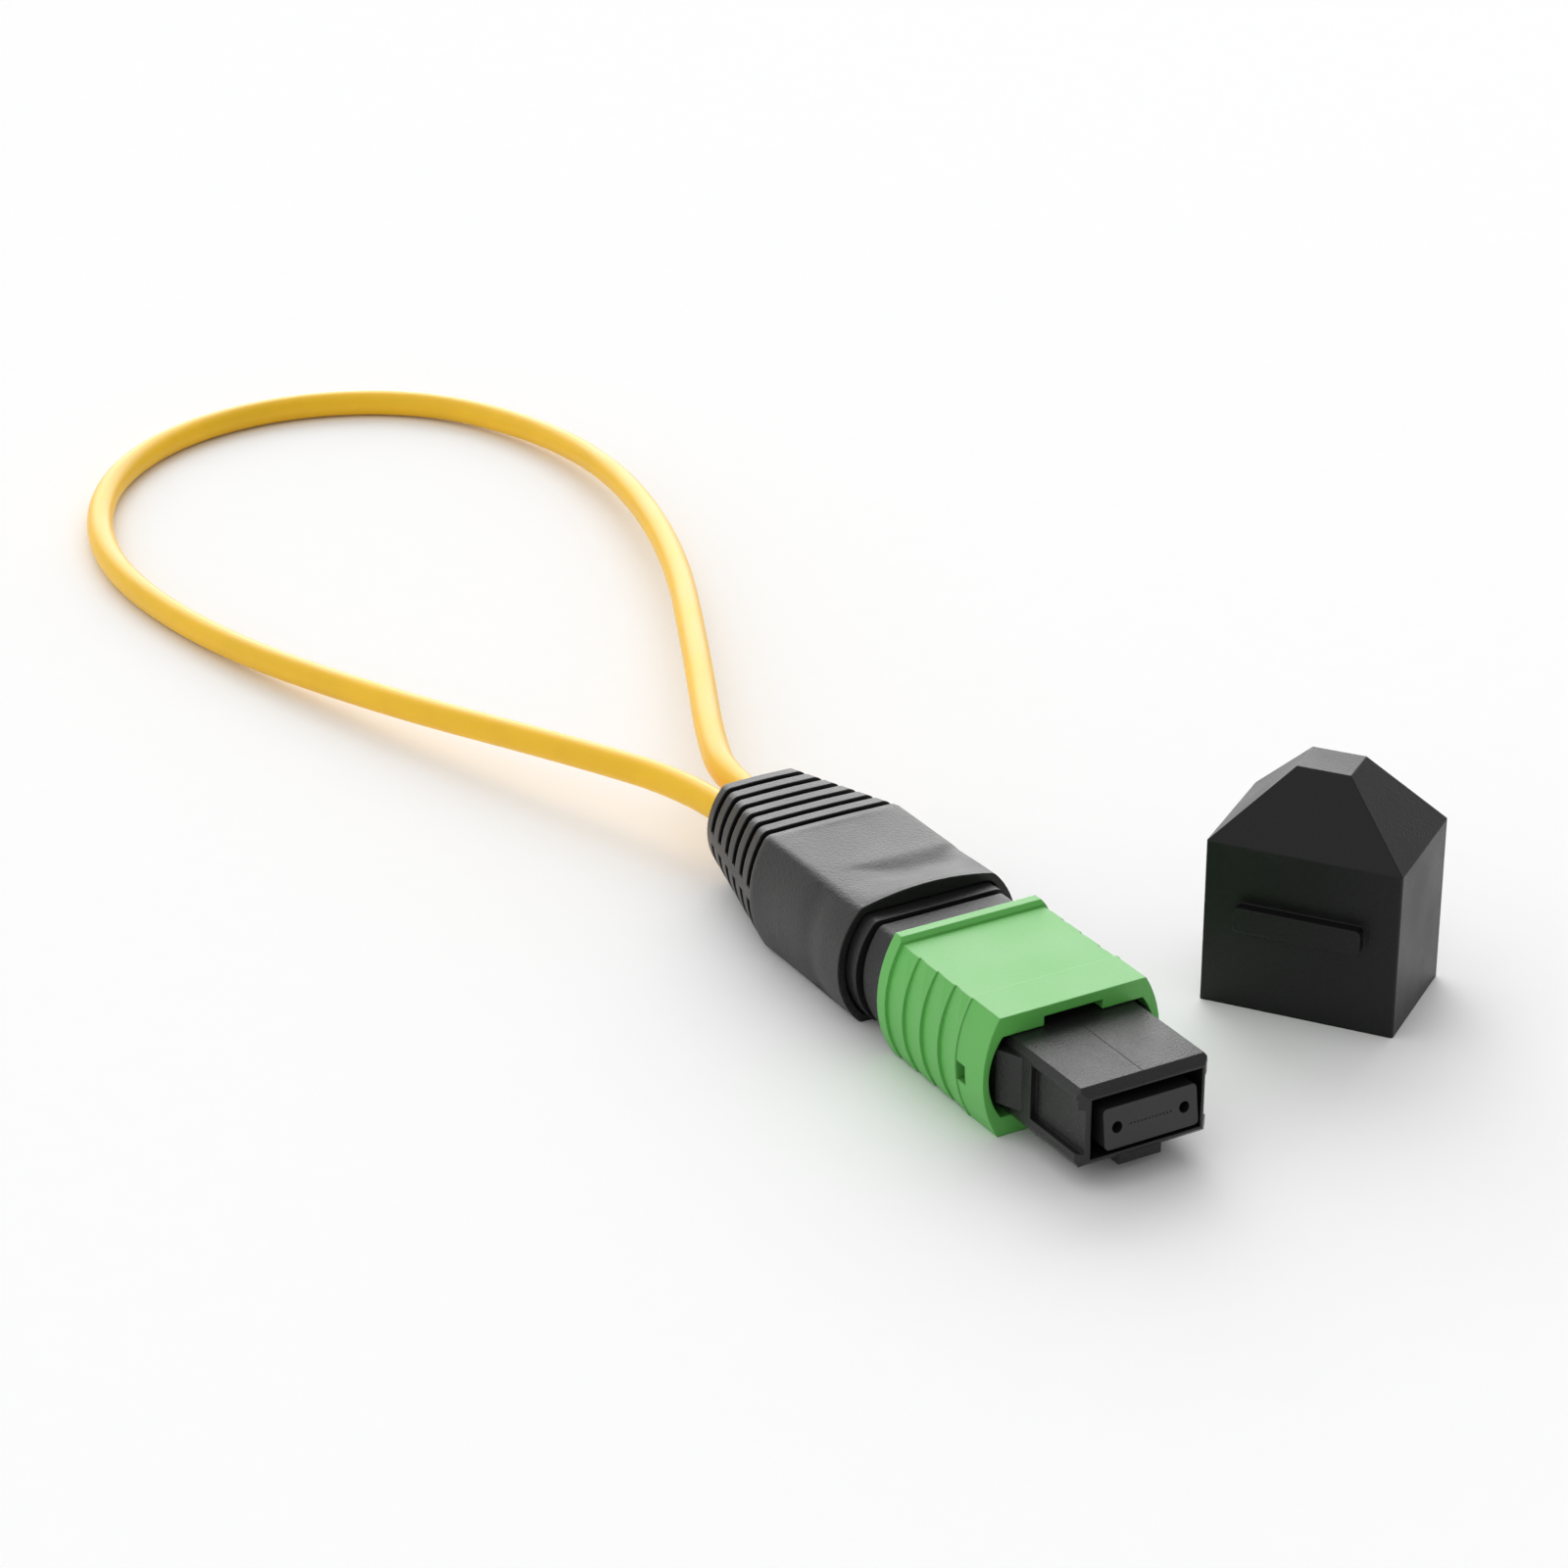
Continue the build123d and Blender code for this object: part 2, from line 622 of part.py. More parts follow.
# Spring push: a tube that holds the spring in, snap hooks, the flange behind the neck and the crimp spigot
push_width = cavity_width - 2 * push_tube_gap
push_height = cavity_height - 2 * push_tube_gap
passage_width = push_width - 2 * push_wall
with BuildPart() as spring_push:
    with BuildSketch(station(neck_rear)):
        Rectangle(push_width, push_height)
    extrude(amount=push_front - neck_rear)
    with BuildSketch(station(neck_rear - seat_gap)):
        Barrel(
            neck_flat_width - 2 * push_boss_inset,
            neck_width - 2 * push_boss_inset,
            neck_height - 2 * push_boss_inset,
        )
    extrude(amount=flange_front - neck_rear + seat_gap)
    with BuildSketch(station(neck_rear)):
        Rectangle(push_width, push_height)
    extrude(amount=-push_gap)
    with BuildSketch(station(flange_front)):
        Barrel(flange_flat_width, flange_width, flange_height, corner=flange_corner)
    extrude(amount=-flange_length)
    with BuildSketch(station(flange_rear)):
        SlotOverall(spigot_width, spigot_height)
    extrude(amount=-spigot_length)
    # Grooves that the yarn is crimped into
    for groove in range(spigot_groove_count):
        groove_x = flange_rear - (groove + 1) * spigot_groove_pitch
        with BuildSketch(station(groove_x)):
            SlotOverall(spigot_width, spigot_height)
            SlotOverall(
                spigot_width - 2 * spigot_groove_depth,
                spigot_height - 2 * spigot_groove_depth,
                mode=Mode.SUBTRACT,
            )
        extrude(amount=-spigot_groove_width, mode=Mode.SUBTRACT)
    # Hooks: ramped at the front so that they snap in
    hook_rear = neck_rear + latch_setback + (latch_length - hook_length) / 2
    with BuildSketch(Plane.XY):
        with BuildLine():
            Polyline(
                (hook_rear, push_width / 2 + hook_reach), (hook_rear + hook_length, push_width / 2),
                (hook_rear + hook_length, -push_width / 2), (hook_rear, -push_width / 2 - hook_reach),
                close=True,
            )
        make_face()
    extrude(amount=hook_height / 2, both=True)
    # Passage for the ribbon and the loose fibres
    with BuildSketch(station(push_front)):
        Rectangle(passage_width, passage_height)
    extrude(amount=flange_front - push_front, mode=Mode.SUBTRACT)
    with BuildSketch(station(flange_front)):
        SlotOverall(spigot_width - 2 * spigot_wall, spigot_height - 2 * spigot_wall)
    extrude(amount=-flange_length - spigot_length, mode=Mode.SUBTRACT)
spring_push.part.label = "spring_push"
export_step(spring_push.part, "parts/spring_push.step")

# Aramid yarn of each cable: out of the jacket's end, round the spigot's rear and forward along it
yarn_length = spigot_length + yarn_end_length - ring_front_gap
for side, name in ((1, "strength_yarn_left"), (-1, "strength_yarn_right")):
    with BuildPart() as strength_yarn:
        with BuildSketch(station(spigot_rear - yarn_end_length)):
            SlotOverall(spigot_width + 2 * yarn_thickness, spigot_height + 2 * yarn_thickness)
            with Locations((side * yarn_split / 2, 0)):
                Rectangle(
                    2 * spigot_width,
                    2 * spigot_width,
                    align=(Align.MAX if side > 0 else Align.MIN, Align.CENTER),
                    mode=Mode.SUBTRACT,
                )
        extrude(amount=yarn_length)
        with BuildSketch(station(spigot_rear - seat_gap)):
            SlotOverall(spigot_width + 2 * ribbon_gap, spigot_height + 2 * ribbon_gap)
        extrude(amount=yarn_length, mode=Mode.SUBTRACT)
        with BuildSketch(station(spigot_rear)):
            with Locations((side * cable_spacing / 2, 0)):
                Circle(fibre_opening)
        extrude(amount=-yarn_end_length, mode=Mode.SUBTRACT)
    strength_yarn.part.label = name
    export_step(strength_yarn.part, f"parts/{name}.step")

# Crimp ring: wide over the yarn, then a cone down to a grip round both cables
grip_width = cable_spacing + 2 * bore_radius
grip_height = 2 * bore_radius
with BuildPart() as crimp_ring:
    for growth, mode in ((ring_wall, Mode.ADD), (0, Mode.SUBTRACT)):
        with BuildSketch(station(ring_front)):
            SlotOverall(ring_width + 2 * growth, ring_height + 2 * growth)
        extrude(amount=jacket_end - ring_front, mode=mode)
        with BuildSketch(station(jacket_end)):
            SlotOverall(ring_width + 2 * growth, ring_height + 2 * growth)
        with BuildSketch(station(jacket_end - ring_cone_length)):
            SlotOverall(grip_width + 2 * growth, grip_height + 2 * growth)
        loft(mode=mode)
        with BuildSketch(station(jacket_end - ring_cone_length)):
            SlotOverall(grip_width + 2 * growth, grip_height + 2 * growth)
        extrude(amount=-ring_grip_length, mode=mode)
crimp_ring.part.label = "crimp_ring"
export_step(crimp_ring.part, "parts/crimp_ring.step")

# Boot: lofted shell with an arched brow at its mouth and a shallow hollow behind it, two cable bores and
# slots that stop at mid-side
slot_first = boot_rear + slot_rear_offset
core_width = grip_width + 2 * core_wall
core_height = grip_height + 2 * core_wall
boot_height = 2 * axis_height
with BuildPart() as boot:
    brow_sections = [
        (boot_mouth, boot_width, brow_rise),
        (boot_mouth - brow_length, boot_waist_width + side_hollow, -brow_dip),
        (boot_mouth - brow_length - brow_dip_length, boot_waist_width - side_hollow, crown),
        (boot_waist, boot_waist_width, crown),
    ]
    for section_x, section_width, rise in brow_sections:
        with BuildSketch(station(section_x)):
            with Locations((0, -sole_trim)):
                Barrel(boot_flat_width, section_width, boot_height, rise, boot_corner)
    loft()
    with BuildSketch(station(boot_waist)):
        with Locations((0, -sole_trim)):
            Barrel(boot_flat_width, boot_waist_width, boot_height, crown, boot_corner)
    with BuildSketch(station(boot_rear)):
        Barrel(boot_rear_flat_width, boot_rear_width, boot_rear_height, crown, boot_corner)
    loft(ruled=True)
    split(bisect_by=Plane.XY.offset(-axis_height), keep=Keep.TOP)
    # Mouth over the flange, then room for the crimp ring
    with BuildSketch(station(boot_mouth)):
        Barrel(
            flange_flat_width + 2 * slide_gap,
            flange_width + 2 * slide_gap,
            flange_height + 2 * slide_gap,
            corner=flange_corner,
        )
    extrude(amount=flange_rear - boot_mouth - seat_gap, mode=Mode.SUBTRACT)
    with BuildSketch(station(boot_mouth)):
        SlotOverall(
            ring_width + 2 * ring_wall + 2 * boot_ring_gap,
            ring_height + 2 * ring_wall + 2 * boot_ring_gap,
        )
    extrude(amount=jacket_end - ring_cone_length - boot_mouth, mode=Mode.SUBTRACT)
    with BuildSketch(station(jacket_end - ring_cone_length)):
        SlotOverall(
            grip_width + 2 * ring_wall + 2 * boot_ring_gap,
            grip_height + 2 * ring_wall + 2 * boot_ring_gap,
        )
    extrude(amount=-ring_grip_length - boot_ring_gap, mode=Mode.SUBTRACT)
    # Cable bores
    with BuildSketch(station(boot_rear)):
        with GridLocations(cable_spacing, 0, 2, 1):
            Circle(bore_radius)
    extrude(amount=ring_rear - boot_rear, mode=Mode.SUBTRACT)
    # Slots
    for slot in range(slot_count):
        with BuildSketch(station(slot_first + slot * slot_pitch - slot_width / 2)):
            Rectangle(2 * boot_width, 2 * boot_height)
            RectangleRounded(core_width, core_height, core_height / 3, mode=Mode.SUBTRACT)
            Rectangle(2 * boot_width, bridge_height, mode=Mode.SUBTRACT)
        extrude(amount=slot_width, mode=Mode.SUBTRACT)
boot.part.label = "boot"
export_step(boot.part, "parts/boot.step")

# Cable: straight inside the boot, and outside it one loop that comes down to the surface at its far bend
exit_y = cable_spacing / 2
lying = cable_radius - axis_height
cable_route = [
    (boot_rear, -exit_y, 0),
    (boot_rear - 6.0, -exit_y, 0),
    (boot_rear - 16.3, -5.3, -0.4),
    (boot_rear - 33.1, -11.5, -1.9),
    (boot_rear - 51.2, -16.8, lying),
    (boot_rear - 67.5, -18.0, lying),
    (boot_rear - 81.6, -12.9, lying),
    (boot_rear - 90.3, -3.5, lying),
    (boot_rear - 92.4, 8.0, lying),
    (boot_rear - 87.6, 18.3, lying),
    (boot_rear - 76.2, 23.3, -2.6),
    (boot_rear - 62.2, 23.2, -1.8),
    (boot_rear - 44.4, 18.3, -1.0),
    (boot_rear - 26.0, 9.9, -0.4),
    (boot_rear - 11.4, 2.9, -0.05),
    (boot_rear - 6.0, exit_y, 0),
    (boot_rear, exit_y, 0),
]
route = [Vector(*point) for point in cable_route]
runs = [after - before for before, after in zip(route, route[1:])]
cable_bends = [
    0.45 * min(run.length, following.length) / math.tan(math.radians(run.get_angle(following)) / 2)
    for run, following in zip(runs, runs[1:])
]
with BuildPart() as fibre_cable:
    with BuildLine() as cable_line:
        FilletPolyline(*cable_route, radius=cable_bends)
    with BuildSketch(Plane(origin=route[0], z_dir=runs[0])):
        Circle(cable_radius)
    sweep(path=cable_line.line)
    swept_volume = fibre_cable.part.volume
    with BuildSketch(station(boot_rear)):
        with GridLocations(cable_spacing, 0, 2, 1):
            Circle(cable_radius)
    extrude(amount=jacket_end - boot_rear)
fibre_cable.part.label = "fibre_cable"
export_step(fibre_cable.part, "parts/fibre_cable.step")
print("cable bend radii", [round(bend, 1) for bend in cable_bends])
loop_length = sum(edge.length for edge in cable_line.edges())
print("cable loop length", round(loop_length, 2))
print("cable volume", round(swept_volume, 3), "expected", round(math.pi * cable_radius**2 * loop_length, 3))

# Dust cap: a square-cornered hood that tapers to a small flat top, with a raised bar on one side
cap_plane = Plane(
    origin=(cap_corner_x, cap_corner_y, -axis_height),
    x_dir=(math.cos(math.radians(cap_yaw)), math.sin(math.radians(cap_yaw)), 0),
    z_dir=(0, 0, 1),
)
low_corner = (Align.MIN, Align.MIN)
pocket_length = nose_width + 2 * cap_fit
pocket_width = nose_height + 2 * cap_fit
keyway_width = key_width + 2 * cap_fit
with BuildPart() as dust_cap:
    with BuildSketch(cap_plane):
        Rectangle(cap_length, cap_width, align=low_corner)
    extrude(amount=cap_wall_height)
    with BuildSketch(cap_plane.offset(cap_wall_height)):
        Rectangle(cap_length, cap_width, align=low_corner)
    with BuildSketch(cap_plane.offset(cap_height)):
        with Locations((cap_length / 2, cap_width / 2)):
            Rectangle(cap_top_length, cap_top_width)
    loft()
    fillet(dust_cap.edges().filter_by(Axis.Z), cap_edge)
    bar_plane = Plane(
        origin=cap_plane.from_local_coords((bar_inset, 0, bar_base)),
        x_dir=cap_plane.x_dir,
        z_dir=-cap_plane.y_dir,
    )
    with BuildSketch(bar_plane):
        with Locations((bar_length / 2, bar_height / 2)):
            RectangleRounded(bar_length, bar_height, 2 * cap_edge)
    extrude(amount=bar_proud)
    with BuildSketch(cap_plane):
        with Locations((cap_length / 2, cap_width / 2)):
            Rectangle(pocket_length, pocket_width)
            Rectangle(keyway_width, pocket_width + 2 * key_drop)
    extrude(amount=cap_pocket_depth, mode=Mode.SUBTRACT)
dust_cap.part.label = "dust_cap"
export_step(dust_cap.part, "parts/dust_cap.step")
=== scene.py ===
# %% [markdown]
# # A fibre loopback plug with its dust cap
#
# This plug tests optical equipment: the light that leaves a port goes into the plug, round the yellow cable
# and back into the same port. A CAD model gives every piece its true shape and size. This file adds what a
# photograph shows besides: a camera, a supple cable, the finish of each moulding, copies of the springs and
# fibres, the folds in the boot, a mould mark and a studio.
#
# Everything is in metres. +X runs forward along the plug, +Y to its left and +Z up. The origin is where the
# plug's axis meets the ferrule's face, so the table is a little below it.

import json
import math

import bpy
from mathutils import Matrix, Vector


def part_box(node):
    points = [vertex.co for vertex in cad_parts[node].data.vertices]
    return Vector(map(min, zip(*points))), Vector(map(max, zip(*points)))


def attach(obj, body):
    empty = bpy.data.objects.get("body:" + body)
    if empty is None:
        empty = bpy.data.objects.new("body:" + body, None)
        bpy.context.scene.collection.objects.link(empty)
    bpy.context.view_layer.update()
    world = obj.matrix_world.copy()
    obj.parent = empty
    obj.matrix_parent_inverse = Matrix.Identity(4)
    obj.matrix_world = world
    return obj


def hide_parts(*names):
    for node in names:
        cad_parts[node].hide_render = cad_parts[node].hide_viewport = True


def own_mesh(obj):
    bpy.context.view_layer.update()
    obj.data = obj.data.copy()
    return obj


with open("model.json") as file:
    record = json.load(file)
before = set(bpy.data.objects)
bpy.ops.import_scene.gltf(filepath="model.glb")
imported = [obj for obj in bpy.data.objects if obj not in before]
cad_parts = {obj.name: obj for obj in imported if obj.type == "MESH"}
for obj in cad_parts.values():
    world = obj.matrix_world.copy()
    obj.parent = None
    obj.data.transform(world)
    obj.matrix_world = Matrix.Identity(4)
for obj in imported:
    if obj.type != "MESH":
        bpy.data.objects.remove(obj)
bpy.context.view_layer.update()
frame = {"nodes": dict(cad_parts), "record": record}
nodes = frame["nodes"]
table_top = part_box("boot")[0][2]
print("CAD pieces:", len(nodes), "and the table is at", round(table_top * 1000, 2), "mm")


# %% [markdown]
# ## The camera
#
# A small object is photographed with a long lens from well back, which keeps its sides nearly parallel.
# The place, the aim and the lens could be guessed by eye. Here they come from fitting straight edges of the
# plug to the photograph, so that every other outline can be compared with it.

# %% Camera
camera_place = Vector((0.17753, -0.12707, 0.12434))
camera_aim = Vector((-0.05555, 0.00813, -0.00385))
sensor_mm = 36
lens_mm = 100.91

bpy.ops.object.camera_add(location=camera_place)
camera = bpy.context.object
camera.name = "camera"
camera.rotation_euler = (camera_aim - camera_place).to_track_quat("-Z", "Y").to_euler()
camera.data.sensor_width = sensor_mm
camera.data.lens = lens_mm
camera.data.clip_start = 0.01
camera.data.clip_end = 20
camera.data.dof.use_dof = False
bpy.context.scene.camera = camera
print("the camera is", round((camera_aim - camera_place).length, 3), "m from what it looks at")


# %% [markdown]
# ## The cable
#
# One 2 mm cable leaves the boot, makes a loop and goes back into the boot beside its start. Its jacket is
# stiff enough to hold a smooth curve: level out of the boot, then down to the table at the far bend.
# A tube swept along straight runs and arcs would look like bent wire, so a smooth spline follows the route.

# %% Route
cable_diameter = 0.002
cable_radius = cable_diameter / 2
cable_offset = 0.0012  # of each exit from the middle of the boot
boot_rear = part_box("boot")[0][0]
jacket_end = -0.0312  # inside the boot
lying = table_top + cable_radius

cable_route = [
    (boot_rear, -cable_offset, 0),
    (boot_rear - 0.0060, -cable_offset, 0),
    (boot_rear - 0.0163, -0.0053, -0.0004),
    (boot_rear - 0.0331, -0.0115, -0.0019),
    (boot_rear - 0.0512, -0.0168, lying),
    (boot_rear - 0.0675, -0.0180, lying),
    (boot_rear - 0.0816, -0.0129, lying),
    (boot_rear - 0.0903, -0.0035, lying),
    (boot_rear - 0.0924, 0.0080, lying),
    (boot_rear - 0.0876, 0.0183, lying),
    (boot_rear - 0.0762, 0.0233, -0.0026),
    (boot_rear - 0.0622, 0.0232, -0.0018),
    (boot_rear - 0.0444, 0.0183, -0.0010),
    (boot_rear - 0.0260, 0.0099, -0.0004),
    (boot_rear - 0.0114, 0.0029, -0.00005),
    (boot_rear - 0.0060, cable_offset, 0),
    (boot_rear, cable_offset, 0),
]
print("route points:", len(cable_route))

# %% Spline
curve = bpy.data.curves.new("looped_cable", "CURVE")
curve.dimensions = "3D"
curve.bevel_depth = cable_radius
curve.bevel_resolution = 8
curve.resolution_u = 16
curve.use_fill_caps = True
spline = curve.splines.new("NURBS")
spline.points.add(len(cable_route) - 1)
for control, place in zip(spline.points, cable_route):
    control.co = (*place, 1)
spline.order_u = 3
spline.use_endpoint_u = True
cable = bpy.data.objects.new("looped_cable", curve)
bpy.context.collection.objects.link(cable)
print("spline length:", round(spline.calc_length() * 1000, 1), "mm")

# %% [markdown]
# The cable's two ends go on straight inside the boot. They are hidden there, but a cut through the plug would
# show them. The curve could be made longer, but it has to end where the free cable ends, so that its length
# can be measured. So each end is a short cylinder.

# %% Cable ends
cable_ends = []
for side, name in ((1, "cable_end_left"), (-1, "cable_end_right")):
    bpy.ops.object.select_all(action="DESELECT")
    bpy.ops.mesh.primitive_cylinder_add(
        vertices=48,
        radius=cable_radius,
        depth=jacket_end - boot_rear,
        location=((jacket_end + boot_rear) / 2, side * cable_offset, 0),
        rotation=(0, math.pi / 2, 0),
    )
    bpy.ops.object.transform_apply(location=True, rotation=True)
    bpy.ops.object.shade_smooth_by_angle(angle=math.radians(40))
    end = bpy.context.object
    end.name = name
    cable_ends.append(end)

for piece in [cable] + cable_ends:
    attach(piece, "body")
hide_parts("fibre_cable")
print("cable pieces:", 1 + len(cable_ends))


# %% [markdown]
# ## Colours and shader nodes
#
# A colour picked from a picture is sRGB, while shaders work in linear light, so one function turns one into
# the other. A shader could be built by hand in the node editor. In a script, one small helper that adds a
# node and fills its inputs keeps each finish short enough to read.

# %% Helpers for finishes
def linear(hex_colour):
    """The linear RGBA of an sRGB colour such as "ffcc00"."""
    channels = [int(hex_colour[i:i + 2], 16) / 255 for i in (0, 2, 4)]
    return [c / 12.92 if c <= 0.04045 else ((c + 0.055) / 1.055) ** 2.4 for c in channels] + [1]


def add(tree, kind, settings=None, **inputs):
    """Adds a node. An input is a value or an output. It is named with _ for each space, or i and its number."""
    node = tree.nodes.new(kind)
    for key, value in (settings or {}).items():
        setattr(node, key, value)
    for key, value in inputs.items():
        numbered = key[0] == "i" and key[1:].isdigit()
        socket = node.inputs[int(key[1:])] if numbered else node.inputs[key.replace("_", " ")]
        if isinstance(value, bpy.types.NodeSocket):
            tree.links.new(value, socket)
        else:
            socket.default_value = value
    return node


def material(name):
    """A new material with only its output node, and its node tree."""
    made = bpy.data.materials.new(name)
    made.use_nodes = True
    tree = made.node_tree
    tree.nodes.clear()
    return made, tree, tree.nodes.new("ShaderNodeOutputMaterial")


def finish_with(tree, output, shader):
    """Links the shader to the material's surface."""
    tree.links.new(shader.outputs[0], output.inputs["Surface"])


def object_place(tree, scale=(1, 1, 1)):
    """The point's place on its object, in metres, stretched by scale."""
    coordinates = add(tree, "ShaderNodeTexCoord")
    return add(
        tree, "ShaderNodeMapping", Vector=coordinates.outputs["Object"], Scale=scale
    ).outputs["Vector"]


print("middle grey in linear light:", [round(c, 3) for c in linear("808080")])


# %% [markdown]
# ## Moulded plastics and rubber
#
# Nearly everything here is injection moulded in a spark-eroded steel mould, which leaves a fine grain.
# An image of a texture would stretch over the sides, so the grain is noise in the object's own millimetres.
# A broad, faint drift in shade and gloss stands for the flow of the melt, and the Bevel node rounds the way
# light falls on sharp edges, as a real mould does, with no change to the shape.

# %% One recipe for moulded finishes
plastic_ior = 1.48
patches_per_metre = 220.0  # a patch of the drift is about 4.5 mm across
noise_low, noise_high = 0.3, 0.7  # a noise rarely goes past these
gloss_spread = 0.04  # of the roughness, each way


def moulded(name, colour, roughness, grain, grain_size=0.00016, specular=0.5, edge=0.0001, drift=0.05):
    """An opaque moulded finish. Sizes are in metres, and grain is the strength of its bumps."""
    made, tree, output = material(name)
    place = object_place(tree)
    fine = add(tree, "ShaderNodeTexNoise", Vector=place, Scale=1 / grain_size, Detail=3.0, Roughness=0.6)
    broad = add(
        tree, "ShaderNodeTexNoise", Vector=place, Scale=patches_per_metre, Detail=2.0, Roughness=0.5
    )
    soft_edge = add(tree, "ShaderNodeBevel", {"samples": 6}, Radius=edge)
    bump = add(
        tree, "ShaderNodeBump", Strength=grain, Distance=grain_size / 2,
        Height=fine.outputs["Fac"], Normal=soft_edge.outputs["Normal"],
    )
    shade = add(
        tree, "ShaderNodeMapRange", Value=broad.outputs["Fac"], From_Min=noise_low, From_Max=noise_high,
        To_Min=1 - drift, To_Max=1 + drift,
    )
    tint = add(tree, "ShaderNodeHueSaturation", Color=linear(colour), Value=shade.outputs["Result"])
    gloss = add(
        tree, "ShaderNodeMapRange", Value=broad.outputs["Fac"], From_Min=noise_low, From_Max=noise_high,
        To_Min=roughness - gloss_spread, To_Max=roughness + gloss_spread,
    )
    shader = add(
        tree, "ShaderNodeBsdfPrincipled", Base_Color=tint.outputs["Color"],
        Roughness=gloss.outputs["Result"], IOR=plastic_ior, Specular_IOR_Level=specular,
        Normal=bump.outputs["Normal"],
    )
    finish_with(tree, output, shader)
    return made


print("a patch of the drift is about", round(1000 / patches_per_metre, 1), "mm across")

# %% [markdown]
# The grain of these moulds is about 0.05 mm, too fine for the picture, so it is drawn at 0.16 mm.

# %% Moulded finishes
# Glass-filled PBT, spark-eroded: a dry satin black whose top catches a grey sheen
housing_plastic = moulded("spark_eroded_black_pbt", "191919", 0.38, grain=0.60, specular=0.45)
# The same plastic from a smoother mould: half the grain and a little more gloss
push_plastic = moulded("smooth_black_pbt", "1b1b1c", 0.34, grain=0.30, specular=0.45)
# Green PBT, dyed through: satin, with a milky sheen where it faces the light
coupling_plastic = moulded(
    "satin_green_pbt", "5eb352", 0.42, grain=0.25, specular=0.54, edge=0.00014, drift=0.03
)
# Thermoplastic elastomer: its edges are rounder than the hard plastics', and its sheen is broad and grey
boot_rubber = moulded("matt_black_tpe", "191919", 0.38, grain=0.60, specular=0.49, edge=0.00018)
# Low-cost polyethylene with carbon black: the deepest black of the pieces, with weak highlights
cap_plastic = moulded(
    "matt_black_polyethylene", "0e0e0f", 0.40, grain=0.40, specular=0.34, edge=0.00014
)
# Glass-filled PPS with a polished face: dark grey and very even
ferrule_plastic = moulded("polished_grey_pps", "1f1f20", 0.34, grain=0.08, edge=0.00004)
# Silicone inside the plug: plain and dull
seal_rubber = moulded("dull_black_silicone", "151515", 0.60, grain=0.10)
# Extruded low-smoke jacket: smoother than the mouldings, with one long soft highlight
cable_jacket = moulded(
    "extruded_yellow_jacket", "f4c01c", 0.36, grain=0.08, grain_size=0.00024, specular=0.4, drift=0.04
)
print("moulded finishes: 8")


# %% [markdown]
# ## Metal
#
# The springs are drawn wire and the ring is drawn tube. Drawing leaves fine lines along the piece, which
# spread a highlight across it. Scratches could be modelled one by one, but stretched noise gives such lines
# in one step.

# %% Drawn metals
lines_per_metre = 6000.0  # a line is about 0.17 mm wide
line_stretch = (0.05, 1, 1)  # and 20 times as long
metal_spread = 0.1  # of the roughness, each way


def drawn_metal(name, colour, roughness):
    """A bare metal with drawing lines along X."""
    made, tree, output = material(name)
    lines = add(
        tree, "ShaderNodeTexNoise", Vector=object_place(tree, line_stretch), Scale=lines_per_metre,
        Detail=2.0,
    )
    gloss = add(
        tree, "ShaderNodeMapRange", Value=lines.outputs["Fac"],
        To_Min=roughness - metal_spread, To_Max=roughness + metal_spread,
    )
    bump = add(tree, "ShaderNodeBump", Strength=0.1, Distance=0.00001, Height=lines.outputs["Fac"])
    shader = add(
        tree, "ShaderNodeBsdfPrincipled", Base_Color=linear(colour), Metallic=1.0,
        Roughness=gloss.outputs["Result"], Normal=bump.outputs["Normal"],
    )
    finish_with(tree, output, shader)
    return made


# Nickel-plated brass, crimped: warm grey and softly shiny
ring_metal = drawn_metal("crimped_nickel_plate", "c4c1ba", 0.35)
# Stainless spring wire: brighter and cooler
spring_metal = drawn_metal("drawn_spring_steel", "bdbdbf", 0.28)
print("drawing lines are about", round(1000 / lines_per_metre, 2), "mm wide")


# %% [markdown]
# ## Adhesive
#
# The ferrule's window is filled with epoxy that holds the fibres. Cured epoxy is amber and clear, with tiny
# bubbles. A cell pattern varies how much light it lets through, in place of hundreds of modelled bubbles.

# %% Cured epoxy
bubbles_per_metre = 9000.0
least_clear, most_clear = 0.55, 0.8
epoxy_ior = 1.53

# Amber epoxy, poured and cured: glassy on top and a little cloudy below
adhesive, tree, output = material("amber_cured_epoxy")
bubbles = add(tree, "ShaderNodeTexVoronoi", Vector=object_place(tree), Scale=bubbles_per_metre)
clearness = add(
    tree, "ShaderNodeMapRange", Value=bubbles.outputs["Distance"], To_Min=least_clear, To_Max=most_clear
)
shader = add(
    tree, "ShaderNodeBsdfPrincipled", Base_Color=linear("c08a3a"), Roughness=0.12,
    Transmission_Weight=clearness.outputs["Result"], IOR=epoxy_ior,
)
finish_with(tree, output, shader)
print("bubble cells are about", round(1000 / bubbles_per_metre, 2), "mm across")


# %% [markdown]
# ## Fibres
#
# Twelve coated fibres lie side by side in a flat ribbon, each in its own colour of the usual order. In the
# ferrule their coating is stripped, so only dark polished glass shows at its face. Each fibre could have its
# own material, but one ramp across the ribbon gives all the stripes.

# %% Coated fibres
ribbon_width = 0.0031
bare_from = -0.0024  # the place along X where the coating ends
bare_glass = "232324"
fibre_colours = [
    "1f5fb4", "e77e23", "2f9a4a", "7a4a2b", "8b939a", "f2f2f0",
    "c8322d", "1a1a1a", "f0c93a", "7b4aa0", "ec8fb0", "5fc3d0",
]
